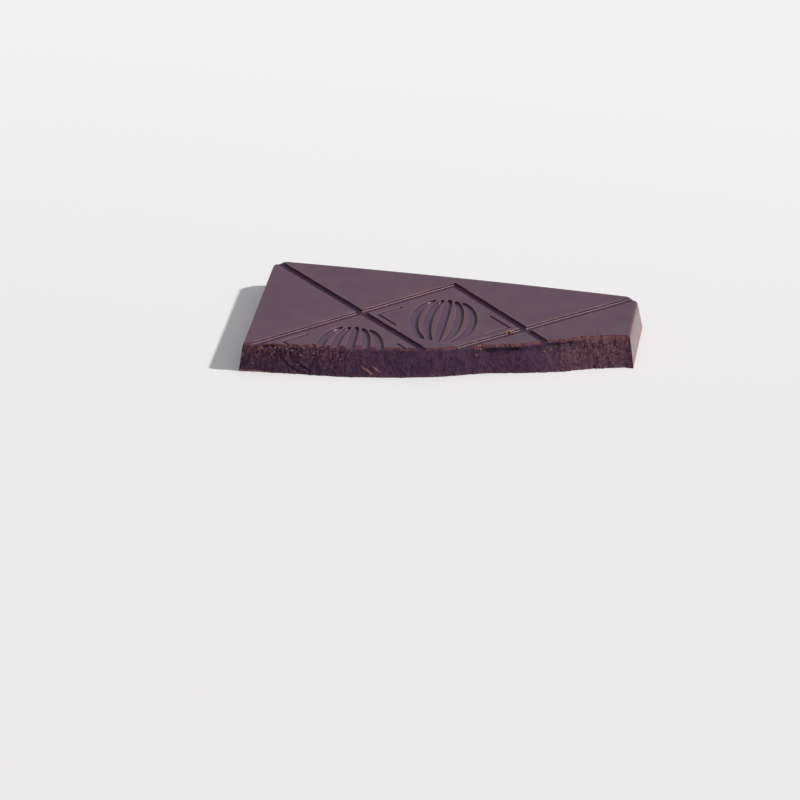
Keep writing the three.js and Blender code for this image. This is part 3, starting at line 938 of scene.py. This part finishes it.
def crumb_finish():
    """Scraped chocolate, lighter and warmer than the bar."""
    f = Finish("chocolate_crumbs")
    p = f.place()
    shade = f.spots(p, *CRUMB_SHADES)
    on_face = f.band(f.part(p, "Z"), *ON_FACE)
    base = f.tint(shade.math("MAXIMUM", on_face), COCOA_RED, COCOA_TAN)
    relief = f.bump(f.cloud(p, *CRUMB_GRAIN), CRUMB_GRAIN_DEPTH)
    return f.surface(base, CRUMB_ROUGHNESS + SHADE_ROUGHNESS * shade, relief, MATT_LEVEL)


def paper_finish():
    """The pale sheet that the piece lies on, with painted shade: darker near the camera, lighter far
    back.
    """
    f = Finish("pale_sheet")
    p = f.place()
    # Painted shade across the sheet, darker towards the front
    back = f.band(f.part(p, "Y"), *SHEET_FADE)
    base = f.tint(back, SHEET_NEAR, SHEET_FAR)
    relief = f.bump(f.cloud(p, *SHEET_GRAIN), SHEET_GRAIN_DEPTH)
    return f.surface(base, SHEET_ROUGHNESS, relief, MATT_LEVEL)


# Crumbs on the break

CRUMB_COUNT = 420
CRUMB_SIZE = (0.04, 0.26)
CRUMB_RARITY = 4         # the higher, the rarer the large ones
CRUMB_ZONES = ((-37, -18, 1.6), (8, 18, 0.4), (22, 36, 1.6), (-37, 37, 1.0))     # ends and depth
CRUMB_SHARES = (0.32, 0.25, 0.25, 0.18)
CRUMB_TOP_GAP = 0.1
CRUMB_LOWEST = 0.4
CRUMB_OUT = 0.2          # how far a crumb's middle stands out of the break, as a share of its size
CRUMB_STRETCH = (0.6, 1.4)
CRUMB_DENTS = (0.6, 1.2)
FACE_BITS = ((13.3, -23.9, 0.4), (14.0, -23.2, 0.5), (14.6, -22.6, 0.35), (-33.8, -39.4, 0.25))
FACE_BIT_SUNK = 0.1
FLATNESS = 0.4           # of the bits on the face
GOLDEN_RATIO = (1 + math.sqrt(5)) / 2


def icosahedron():
    """Corners and faces of a ball with twenty sides and radius 1."""
    g = GOLDEN_RATIO
    corners = [(0, s, t * g) for s in (-1, 1) for t in (-1, 1)]
    corners += [(s, t * g, 0) for s in (-1, 1) for t in (-1, 1)]
    corners += [(s * g, 0, t) for s in (-1, 1) for t in (-1, 1)]
    corners = np.array(corners, float) / math.hypot(1, g)
    mesh = bmesh.new()
    for corner in corners:
        mesh.verts.new(corner)
    bmesh.ops.convex_hull(mesh, input=mesh.verts)
    mesh.verts.index_update()
    points = np.array([v.co[:] for v in mesh.verts])
    faces = np.array([[v.index for v in face.verts] for face in mesh.faces])
    mesh.free()
    return points, faces


def crumbs(finish):
    """Small broken bits that still cling to the break, mostly under its upper edge."""
    rng = np.random.default_rng(SEED)
    shape, sides = icosahedron()
    places, points, faces = [], [], []
    for _ in range(CRUMB_COUNT):
        low_end, high_end, depth = CRUMB_ZONES[rng.choice(len(CRUMB_ZONES), p=CRUMB_SHARES)]
        x = rng.uniform(low_end, high_end)
        z = max(THICKNESS - CRUMB_TOP_GAP - abs(rng.normal(0, depth)), CRUMB_LOWEST)
        size = mix(*CRUMB_SIZE, rng.random() ** CRUMB_RARITY)
        y = float(break_surface(np.array([x]), z)[0]) - CRUMB_OUT * size
        places.append((x, y, z, size, 1))
    places += [(x, y, THICKNESS - FACE_BIT_SUNK * size, size, FLATNESS) for x, y, size in FACE_BITS]
    for x, y, z, size, tall in places:
        stretch = rng.uniform(*CRUMB_STRETCH, 3) * (size, size, size * tall)
        bit = shape * rng.uniform(*CRUMB_DENTS, shape.shape) * stretch
        faces += (sides + len(points) * len(shape)).tolist()
        points.append(bit + (x, y, z))
    piece = new_mesh("break_crumbs", np.concatenate(points), faces)
    piece.data.materials.append(finish)
    return piece


# The studio

FLOOR_SPAN = 4.0        # in metres
KEY_TURN = 100.0        # where the key stands round the piece, from the camera's side, in degrees
KEY_RISE = 40.0
KEY_POWER = 3.0
KEY_SOFTNESS = 3.5      # the width of the sun's disc, in degrees
KEY_COLOUR = (1.0, 0.99, 0.975)
SKY_TOP = 0.78          # brightness overhead, falling to the horizon's
SKY_HORIZON = 0.05
BACKDROP = 0.87         # what the camera itself sees past the floor
SKY_COLOUR = (0.98, 0.98, 1.0)


def camera():
    data = bpy.data.cameras.new("photo_camera")
    made = bpy.data.objects.new("photo_camera", data)
    bpy.context.scene.collection.objects.link(made)
    data.lens = CAMERA_LENS
    data.sensor_width = SENSOR
    data.clip_start, data.clip_end = CAMERA_CLIP
    right, down, forward = (Vector(v).normalized() for v in (CAMERA_RIGHT, CAMERA_DOWN, CAMERA_FORWARD))
    turn = Matrix((right, -down, -forward)).transposed()
    place = (Vector(CAMERA_PLACE) + Vector((MID_WIDTH, END_LINE, THICKNESS))) * MM
    made.matrix_world = Matrix.Translation(place) @ turn.to_4x4()
    bpy.context.scene.camera = made


def floor():
    """The sheet under the piece, part of the studio."""
    s = FLOOR_SPAN / 2
    mesh = bpy.data.meshes.new("floor")
    mesh.from_pydata([(-s, -s, 0), (s, -s, 0), (s, s, 0), (-s, s, 0)], [], [(0, 1, 2, 3)])
    made = bpy.data.objects.new("floor", mesh)
    bpy.context.scene.collection.objects.link(made)
    mesh.materials.append(paper_finish())


def sky():
    """Soft light from overhead in a dim room, pale where the camera looks past the floor."""
    world = bpy.data.worlds.new("studio_sky")
    world.use_nodes = True
    bpy.context.scene.world = world
    f = Finish(world)
    height = f.part(f.add("ShaderNodeTexCoord", output="Generated"), "Z")
    above = f.add("ShaderNodeMath", {"operation": "MAXIMUM"}, {0: height, 1: 0.0})
    glow = SKY_HORIZON + (SKY_TOP - SKY_HORIZON) * above * above
    seen = f.add("ShaderNodeLightPath", output="Is Camera Ray")
    strength = glow + (BACKDROP - glow) * seen
    light = f.add("ShaderNodeBackground", None, {"Color": (*SKY_COLOUR, 1.0), "Strength": strength})
    f.end("ShaderNodeOutputWorld", light)


def key_light():
    """A soft sun from the right and slightly behind."""
    data = bpy.data.lights.new("key", "SUN")
    data.energy = KEY_POWER
    data.angle = math.radians(KEY_SOFTNESS)
    data.color = KEY_COLOUR
    key = bpy.data.objects.new("key", data)
    bpy.context.scene.collection.objects.link(key)
    turn, rise = math.radians(KEY_TURN), math.radians(KEY_RISE)
    towards = Vector((math.sin(turn), -math.cos(turn), math.tan(rise)))
    key.rotation_mode = "QUATERNION"
    key.rotation_quaternion = towards.to_track_quat("Z", "Y")


camera()
bpy.context.scene.view_settings.view_transform = "Standard"
finishes = [
    skin("moulded_chocolate"),
    skin("worn_rim", wear=0.4, gloss=0.42),
    # The grooves' colour is painted shade: navy, and plum where their walls face the key light
    skin("groove_chocolate_painted_shade", PAINTED_SHADE_NAVY, PAINTED_SHADE_PLUM, gloss=0.35),
    # The ribs: painted sky reflection on their bluish floors and painted shade on their walls
    skin("rib_chocolate_painted_light_and_shade", COCOA_WITH_PAINTED_SKY, gloss=0.22, painted_wall_shade=0.9),
    broken_face(),
]
piece = chocolate_piece(finishes)
bits = crumbs(crumb_finish())
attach(piece, "root")
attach(bits, "root")
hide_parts("chocolate_bar")
floor()
sky()
key_light()
